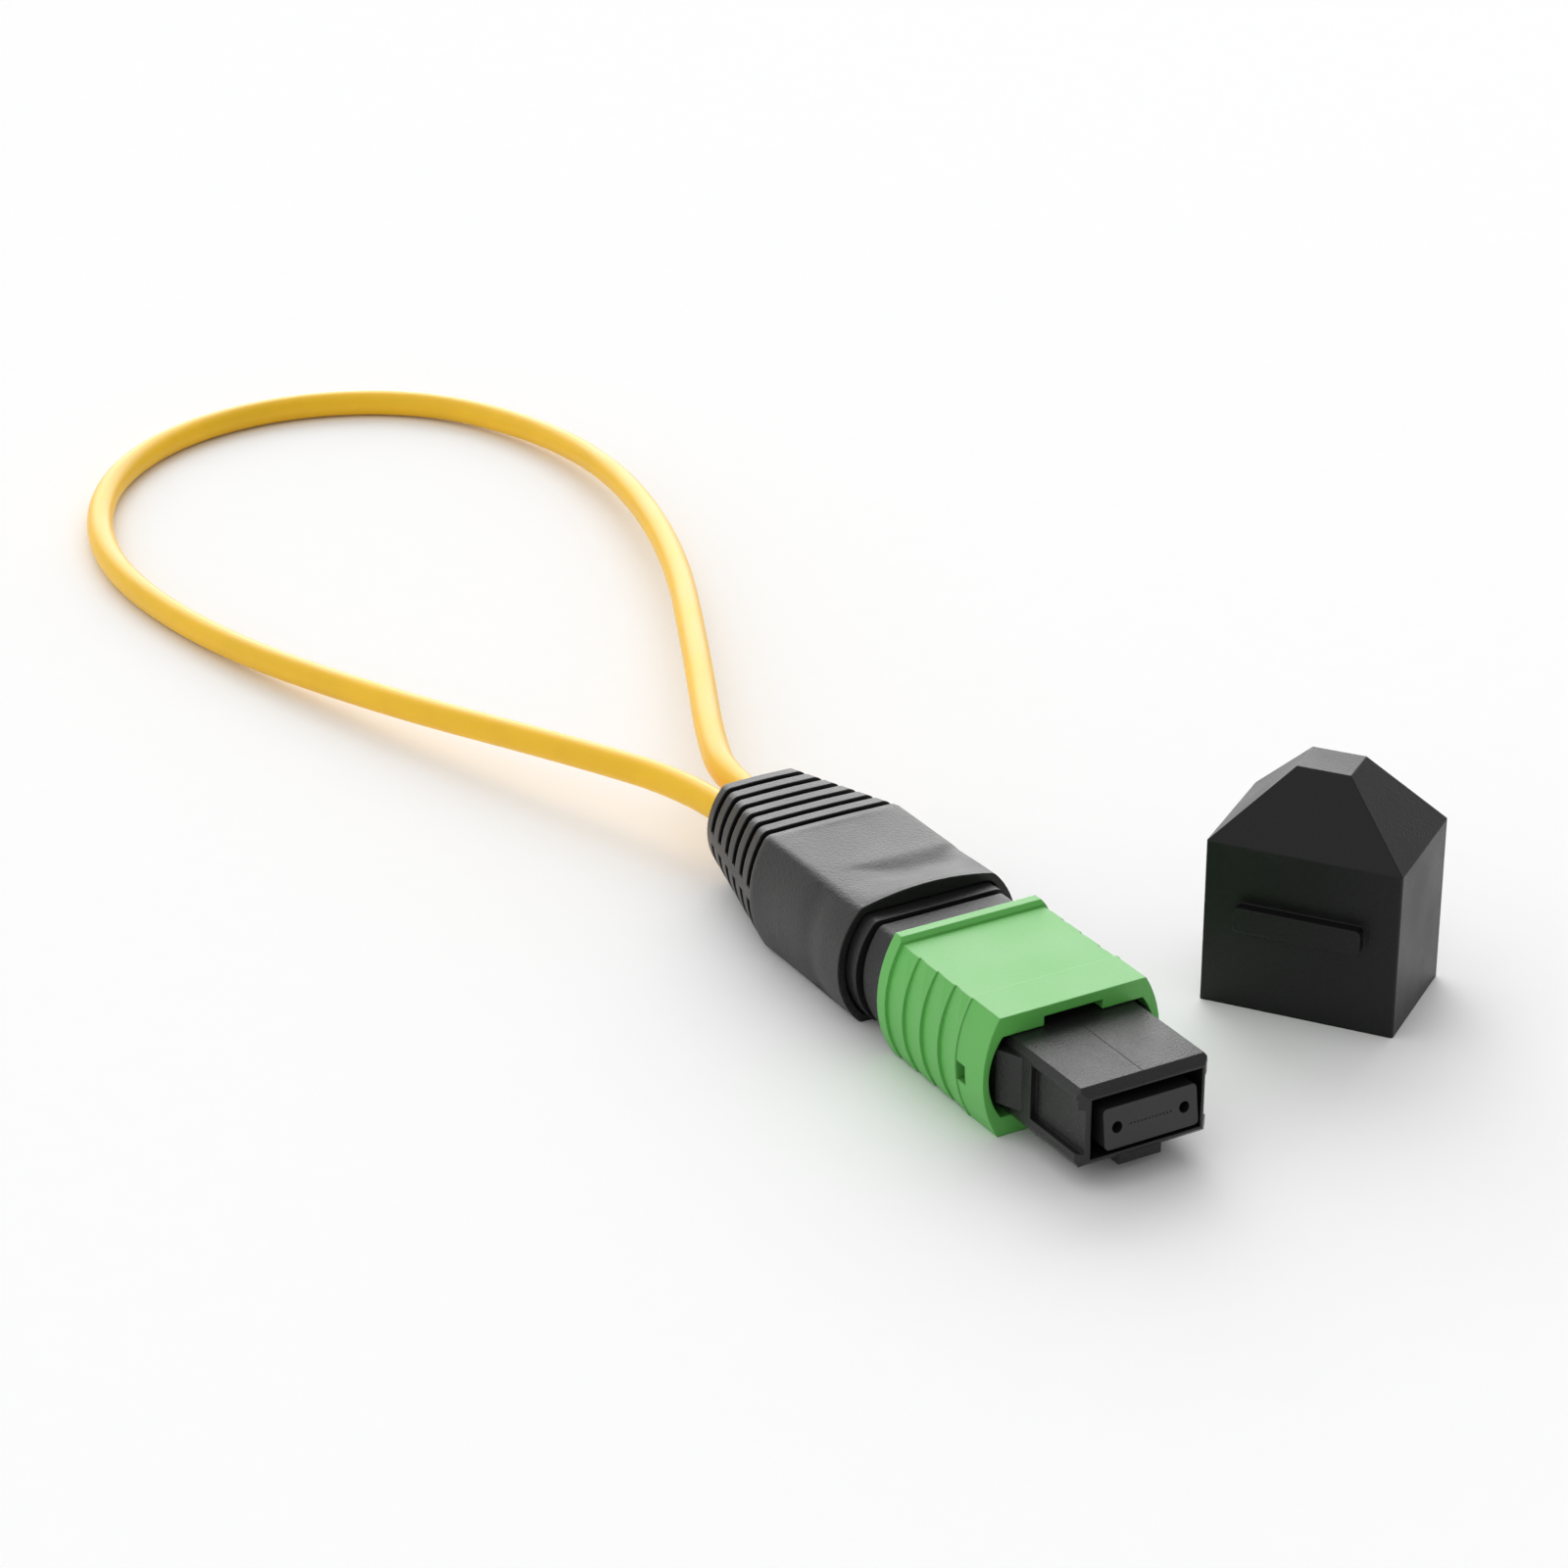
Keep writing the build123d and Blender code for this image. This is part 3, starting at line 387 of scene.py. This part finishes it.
# Acrylate coating, dyed and drawn on: even bright colours with a soft gloss
ribbon_coating, tree, output = material("coloured_acrylate_coating")
axes = add(tree, "ShaderNodeSeparateXYZ", Vector=object_place(tree))
across = add(
    tree, "ShaderNodeMapRange", Value=axes.outputs["Y"],
    From_Min=-ribbon_width / 2, From_Max=ribbon_width / 2,
)
ramp = add(tree, "ShaderNodeValToRGB", Fac=across.outputs["Result"])
ramp.color_ramp.interpolation = "CONSTANT"
ramp.color_ramp.elements[0].color = linear(fibre_colours[0])
ramp.color_ramp.elements[1].position = 1 / len(fibre_colours)
ramp.color_ramp.elements[1].color = linear(fibre_colours[1])
for index, colour in enumerate(fibre_colours[2:], 2):
    ramp.color_ramp.elements.new(index / len(fibre_colours)).color = linear(colour)
bare = add(tree, "ShaderNodeMath", {"operation": "GREATER_THAN"}, i0=axes.outputs["X"], i1=bare_from)
shown = add(
    tree, "ShaderNodeMix", {"data_type": "RGBA"}, i0=bare.outputs[0], i6=ramp.outputs["Color"],
    i7=linear(bare_glass),
)
shader = add(tree, "ShaderNodeBsdfPrincipled", Base_Color=shown.outputs["Result"], Roughness=0.34)
finish_with(tree, output, shader)
print("fibre colours:", len(fibre_colours))


# %% [markdown]
# ## Yarn
#
# Aramid strands take the pull on the cable. They are pale gold, and lie along it in fine parallel lines.
# Strands could be curves of their own, but they are hidden in the crimp, so noise that is stretched along X
# gives their colour, a painted shade in the low gaps between them, and their relief.

# %% Aramid yarn
strands_per_metre = 9000.0
strand_stretch = (0.04, 1, 1)

# Aramid filament, laid dry: silky gold, with painted shade darkening the gaps between the strands
aramid, tree, output = material("pale_gold_aramid_yarn")
strands = add(
    tree, "ShaderNodeTexNoise", Vector=object_place(tree, strand_stretch), Scale=strands_per_metre,
    Detail=3.0,
)
# painted shade: the ramp darkens the gold where the noise, and so the bump, is low
tone = add(tree, "ShaderNodeValToRGB", Fac=strands.outputs["Fac"])
tone.color_ramp.elements[0].position = 0.35
tone.color_ramp.elements[0].color = linear("a8842c")
tone.color_ramp.elements[1].position = 0.65
tone.color_ramp.elements[1].color = linear("e6c868")
bump = add(tree, "ShaderNodeBump", Strength=0.5, Distance=0.00004, Height=strands.outputs["Fac"])
shader = add(
    tree, "ShaderNodeBsdfPrincipled", Base_Color=tone.outputs["Color"], Roughness=0.55,
    Normal=bump.outputs["Normal"],
)
finish_with(tree, output, shader)
print("strands are about", round(1000 / strands_per_metre, 2), "mm wide")


# %% [markdown]
# ## Giving each piece its finish
#
# A CAD piece keeps its own mesh, and only the material in its slot changes. The material could be put into
# the mesh data, but the slot is set to take it from the object, so that the data stays as it came.

# %% Finishes by piece
finishes = {
    "boot": boot_rubber,
    "coupling": coupling_plastic,
    "inner_housing": housing_plastic,
    "spring_push": push_plastic,
    "pin_keeper": push_plastic,
    "mt_ferrule": ferrule_plastic,
    "window_epoxy": adhesive,
    "ferrule_boot": seal_rubber,
    "ribbon_sleeve": seal_rubber,
    "fibre_ribbon": ribbon_coating,
    "fibre_bundle_left": ribbon_coating,
    "fibre_bundle_right": ribbon_coating,
    "main_spring": spring_metal,
    "coupling_spring_left": spring_metal,
    "coupling_spring_right": spring_metal,
    "strength_yarn_left": aramid,
    "strength_yarn_right": aramid,
    "crimp_ring": ring_metal,
    "dust_cap": cap_plastic,
    "fibre_cable": cable_jacket,
}
for name, finish in finishes.items():
    slot = nodes[name].material_slots[0]
    slot.link = "OBJECT"
    slot.material = finish
for piece in [cable] + cable_ends:
    piece.data.materials.append(cable_jacket)
print("finished pieces:", len(finishes) + 1 + len(cable_ends))


# %% [markdown]
# ## Springs and fibres
#
# The springs shorten when the coupling or the ferrule slides back, and the loose fibres behind the ferrule
# take up its travel. A rigid piece would stick through its neighbour, and a piece that moved with it would
# leave its seat. Here each is only replaced by a plain copy of its mesh with its finish, fixed to the body;
# nothing shortens it.

# %% Copies of the springs and fibres
for joint in frame["record"]["behaviour"]["joints"]:
    for deforming in joint["deforming_nodes"]:
        name = deforming["node"]
        low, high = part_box(name)
        piece = bpy.data.objects.new("yielding_" + name, nodes[name].data.copy())
        bpy.context.collection.objects.link(piece)
        piece.data.materials.clear()
        piece.data.materials.append(finishes[name])
        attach(piece, "body")
        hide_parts(name)
        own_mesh(piece)


# %% [markdown]
# ## The boot's folds
#
# The real boot is pulled off its core while it is still warm. Its top keeps a shallow fold behind the arch of
# its mouth, and its sides a faint hollow. The CAD solid has the plain form. Folds could be sculpted by hand,
# but here a copy of the solid is cut into a fine grid, and a smooth formula moves the points of its outer
# skin.
#
# First comes the copy. Its loose triangles are merged, and all but its outer skin ahead of the slots is
# selected, so that it can be hidden from the cuts.

# %% A copy of the boot
boot_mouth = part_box("boot")[1][0]
folds_rear = boot_mouth - 0.0113  # just ahead of the last slot
merge_distance = 1e-7
plane_reach = 0.001  # the plane of an outer face passes at least this far from the axis
skin_reach = 0.0036  # and its middle lies at least this far from it

folded_boot = bpy.data.objects.new("folded_boot", nodes["boot"].data.copy())
bpy.context.collection.objects.link(folded_boot)
bpy.ops.object.select_all(action="DESELECT")
bpy.context.view_layer.objects.active = folded_boot
folded_boot.select_set(True)
bpy.ops.mesh.customdata_custom_splitnormals_clear()
bpy.ops.object.mode_set(mode="EDIT")
bpy.ops.mesh.select_mode(type="FACE")
bpy.ops.mesh.select_all(action="SELECT")
bpy.ops.mesh.remove_doubles(threshold=merge_distance)
bpy.ops.mesh.select_all(action="DESELECT")
bpy.ops.object.mode_set(mode="OBJECT")
for polygon in folded_boot.data.polygons:
    middle = polygon.center.yz
    ahead = max(folded_boot.data.vertices[i].co.x for i in polygon.vertices) > folds_rear
    outward = polygon.normal.yz.dot(middle) > plane_reach and middle.length > skin_reach
    polygon.select = not (ahead and outward)
print("points of the merged copy:", len(folded_boot.data.vertices))

# %% [markdown]
# Then planes cut the skin along all three axes. Subdividing would follow the solid's long thin triangles,
# while plane cuts give even squares. The cut squares become triangles, because moved points may leave a
# square unflat.

# %% A fine grid of cuts
grid_step = 0.0003
half_width, half_height = 0.0057, 0.0036  # the reach of the cuts from the axis
cuts = ((0, folds_rear, boot_mouth), (1, -half_width, half_width), (2, -half_height, half_height))

bpy.ops.object.mode_set(mode="EDIT")
bpy.ops.mesh.hide(unselected=False)
for axis, low, high in cuts:
    for step in range(1, round((high - low) / grid_step)):
        place, normal = Vector(), Vector()
        place[axis], normal[axis] = low + step * grid_step, 1
        bpy.ops.mesh.select_all(action="SELECT")
        bpy.ops.mesh.bisect(plane_co=place, plane_no=normal)
bpy.ops.mesh.reveal()
bpy.ops.mesh.select_all(action="SELECT")
bpy.ops.mesh.quads_convert_to_tris()
bpy.ops.object.mode_set(mode="OBJECT")
print("points of the cut copy:", len(folded_boot.data.vertices))

# %% [markdown]
# The form of the real top is a low arc from side to side. It rises to the arch of the mouth, and the fold is
# taken away from it. The fold starts near the right edge, is full from the middle leftwards and partly closes
# again at the left edge. Its valley runs at a slant.

# %% The form of the top
half_flat = 0.00475  # of the top, between its rounded edges
crown = 0.00006
arch, arch_power = 0.0006, 1.4
fold_start, fold_valley, fold_end = -0.0292, -0.0273, -0.0256
fold_depth = 0.00026
fold_opens = (-0.0038, 0.0006)  # along Y, from the right edge to past the middle
fold_closes = (0.0028, 0.0046)  # along Y, towards the left edge
closing = 0.6
least_slant = 0.2


def smooth(value, low, high):
    """Rises smoothly from 0 to 1 between low and high."""
    share = min(max((value - low) / (high - low), 0), 1)
    return share * share * (3 - 2 * share)


def bulge(y):
    """The height of the top's arc across the boot, as a share of its height in the middle."""
    return max(1 - (y / half_flat) ** 2, 0)


def fold(x, y):
    """How deep the fold is."""
    opened = smooth(y, *fold_opens) * (1 - closing * smooth(y, *fold_closes))
    valley = fold_start + (fold_valley - fold_start) * max(opened, least_slant)
    if x < valley:
        return fold_depth * opened * smooth(x, fold_start, valley)
    return fold_depth * opened * (1 - smooth(x, valley, fold_end))


def wanted_top(x, y):
    """The height of the real top over its edges."""
    rise = max((x - fold_valley) / (boot_mouth - fold_valley), 0) ** arch_power
    return (crown + (arch - crown) * rise) * bulge(y) - fold(x, y)


print("the fold's deepest point:", round(fold(fold_valley, fold_opens[1]) * 1000, 2), "mm")

# %% [markdown]
# The solid has a plain crown of its own, which has to go first. Its height could be typed in, but it is
# measured along the middle of the cut copy, so that it stays right when the solid changes.

# %% The solid's own middle line
boot_top = -table_top  # of its edges, which lie as far above the axis as its foot lies below
line_half_width = 0.00016  # just over half a step of the grid
line_depth = 0.0004

middle_line = sorted(
    (vertex.co.x, vertex.co.z - boot_top)
    for vertex in folded_boot.data.vertices
    if abs(vertex.co.y) < line_half_width
    and vertex.co.z > boot_top - line_depth
    and vertex.co.x > folds_rear - grid_step
)


def solid_middle(x):
    """The height of the solid's middle line over its edges."""
    for (x0, z0), (x1, z1) in zip(middle_line, middle_line[1:]):
        if x0 <= x <= x1:
            return z0 if x1 == x0 else z0 + (z1 - z0) * (x - x0) / (x1 - x0)
    return middle_line[0][1] if x < middle_line[0][0] else middle_line[-1][1]


heights = [height for _, height in middle_line]
print("the solid's middle line goes from", round(min(heights) * 1000, 2), "to",
      round(max(heights) * 1000, 2), "mm over its edges")

# %% [markdown]
# Now the skin moves. On the flat of the top each point goes straight to the wanted height. Near the rounded
# edges it is only lifted by the difference, so that they stay round. The sides get a hollow, and everything
# fades out at the slots and at the mouth, where the solid's edge stays as it is.

# %% Move the skin
hollow_place, hollow_reach, hollow_depth = -0.0280, 0.0011, 0.00015
top_skin, side_skin = 0.0030, 0.0050  # how far up and out from the axis each begins
edge_starts, edge_full = 0.0038, 0.0046
fade_rear, fade_mouth = 0.0008, 0.0004

normals = [vertex.normal.copy() for vertex in folded_boot.data.vertices]
for vertex, normal in zip(folded_boot.data.vertices, normals):
    x, y, z = vertex.co
    fade = smooth(x, folds_rear, folds_rear + fade_rear) * (1 - smooth(x, boot_mouth - fade_mouth, boot_mouth))
    if z > top_skin and normal.z > 0:
        flat = 1 - smooth(abs(y), edge_starts, edge_full)
        lift = wanted_top(x, y) - solid_middle(x) * bulge(y)
        to_form = boot_top + wanted_top(x, y) - z
        vertex.co.z += fade * (flat * to_form + (1 - flat) * normal.z * lift)
    if y * normal.y > 0 and abs(y) > side_skin:
        hollow = hollow_depth * math.exp(-(((x - hollow_place) / hollow_reach) ** 2))
        vertex.co.y -= fade * normal.y * hollow
bpy.ops.object.shade_smooth_by_angle(angle=math.radians(35))
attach(folded_boot, "body")
folded_boot.data.materials.clear()
folded_boot.data.materials.append(boot_rubber)
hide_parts("boot")
print("size of the folded boot:", [round(side * 1000, 2) for side in folded_boot.dimensions], "mm")


# %% [markdown]
# ## A mould mark
#
# The two halves of the nose's mould meet along the middle of its top and leave a hair-thin seam. It could be
# drawn in the material, but a thin raised strip catches the light from every side, as the real one does.

# %% Seam on the nose
nose_top = 0.00257  # over the plug's axis
seam_front = -0.00100
seam_rear = -0.00800
seam_width = 0.00006
seam_height = 0.000008
seam_taper = 0.3  # of its width and height, at its upper edges

bpy.ops.object.select_all(action="DESELECT")
bpy.ops.mesh.primitive_cube_add(size=1, location=((seam_front + seam_rear) / 2, 0, nose_top))
nose_seam = bpy.context.object
nose_seam.name = "nose_seam"
nose_seam.scale = (seam_front - seam_rear, seam_width, 2 * seam_height)
bpy.ops.object.transform_apply(location=True, scale=True)
for polygon in nose_seam.data.polygons:
    polygon.select = polygon.normal.z > 0.9
bpy.ops.object.mode_set(mode="EDIT")
bpy.ops.mesh.select_mode(type="FACE")
bpy.ops.mesh.inset(thickness=seam_width * seam_taper, depth=seam_height * seam_taper)
bpy.ops.object.mode_set(mode="OBJECT")
nose_seam.data.materials.append(housing_plastic)
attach(nose_seam, "body")
print("seam:", round(nose_seam.dimensions.x * 1000, 2), "mm long")


# %% [markdown]
# ## The table
#
# The plug lies on a sheet of white paper that reaches far behind it, so no horizon shows. A curved backdrop
# would do the same, but from this high up a wide flat sheet is enough. It is plain diffuse white, with a
# faint fibre that stops it from looking like nothing at all.

# %% Table
paper_size = 8
paper_gap = 0.00002  # keeps the paper just clear of what lies on it
paper_dark, paper_light = 0.915, 0.925

bpy.ops.object.select_all(action="DESELECT")
bpy.ops.mesh.primitive_plane_add(size=paper_size, location=(0, 0, table_top - paper_gap))
table = bpy.context.object
table.name = "table"
# Uncoated paper: an even white with no gloss
paper, tree, output = material("white_paper_sweep")
fibre = add(tree, "ShaderNodeTexNoise", Vector=object_place(tree), Scale=400.0, Detail=2.0)
tone = add(tree, "ShaderNodeMapRange", Value=fibre.outputs["Fac"], To_Min=paper_dark, To_Max=paper_light)
shader = add(tree, "ShaderNodeBsdfDiffuse", Color=tone.outputs["Result"])
finish_with(tree, output, shader)
table.data.materials.append(paper)
print("table at", round(table_top * 1000, 2), "mm")


# %% [markdown]
# ## Light
#
# The photograph has the soft light of a small tent. Lamps could be put all round the plug, but a world that
# is brighter towards two sides gives the same light with no noise. The stronger glow is low behind the plug:
# seen at a slant, the tops of the black mouldings mirror it, which is why they look grey while their fronts
# stay black. The weaker one is at the left and lifts the shadows there.

# %% World
ambient = 0.50
glows = [  # the direction of each, the cosine to that direction at which it starts, and its peak
    ((-0.80, 0.46, 0.39), 0.75, 3.45),
    ((-0.41, -0.71, 0.57), 0.2, 0.5),
]
world = bpy.data.worlds.new("studio")
bpy.context.scene.world = world
world.use_nodes = True
tree = world.node_tree
tree.nodes.clear()
direction = add(tree, "ShaderNodeTexCoord")
strength = ambient
for towards, start, peak in glows:
    facing = add(
        tree, "ShaderNodeVectorMath", {"operation": "DOT_PRODUCT"},
        i0=direction.outputs["Generated"], i1=towards,
    )
    glow = add(
        tree, "ShaderNodeMapRange", {"interpolation_type": "SMOOTHSTEP"}, Value=facing.outputs["Value"],
        From_Min=start, From_Max=1.0, To_Min=0.0, To_Max=peak,
    )
    strength = add(
        tree, "ShaderNodeMath", {"operation": "ADD"}, i0=glow.outputs["Result"], i1=strength
    ).outputs[0]
background = add(tree, "ShaderNodeBackground", Color=(1, 1, 1, 1), Strength=strength)
output = tree.nodes.new("ShaderNodeOutputWorld")
tree.links.new(background.outputs[0], output.inputs["Surface"])
print("glows:", len(glows))

# %% [markdown]
# One large, weak lamp above and behind gives the shadows a direction. A small lamp would draw hard shadows.
# This one is wider than it is far away, so they stay soft.

# %% Overhead softbox
lamp_aim = Vector((-0.04, 0.005, 0))
lamp_place = Vector((-0.25, 0.18, 0.60))
lamp_width = 0.9
lamp_watts = 0.45

bpy.ops.object.light_add(type="AREA", location=lamp_place)
lamp = bpy.context.object
lamp.name = "overhead_softbox"
lamp.data.shape = "DISK"
lamp.data.size = lamp_width
lamp.data.energy = lamp_watts
lamp.rotation_euler = (lamp_aim - lamp_place).to_track_quat("-Z", "Y").to_euler()
print("the lamp is", round((lamp_aim - lamp_place).length, 2), "m away")


# %% [markdown]
# ## The view
#
# Colours are shown as they are, with no film look.

# %% View settings
bpy.context.scene.view_settings.view_transform = "Standard"
bpy.context.view_layer.update()
cable.update_tag(refresh={"OBJECT"})  # the box of a curve is right only from its second update
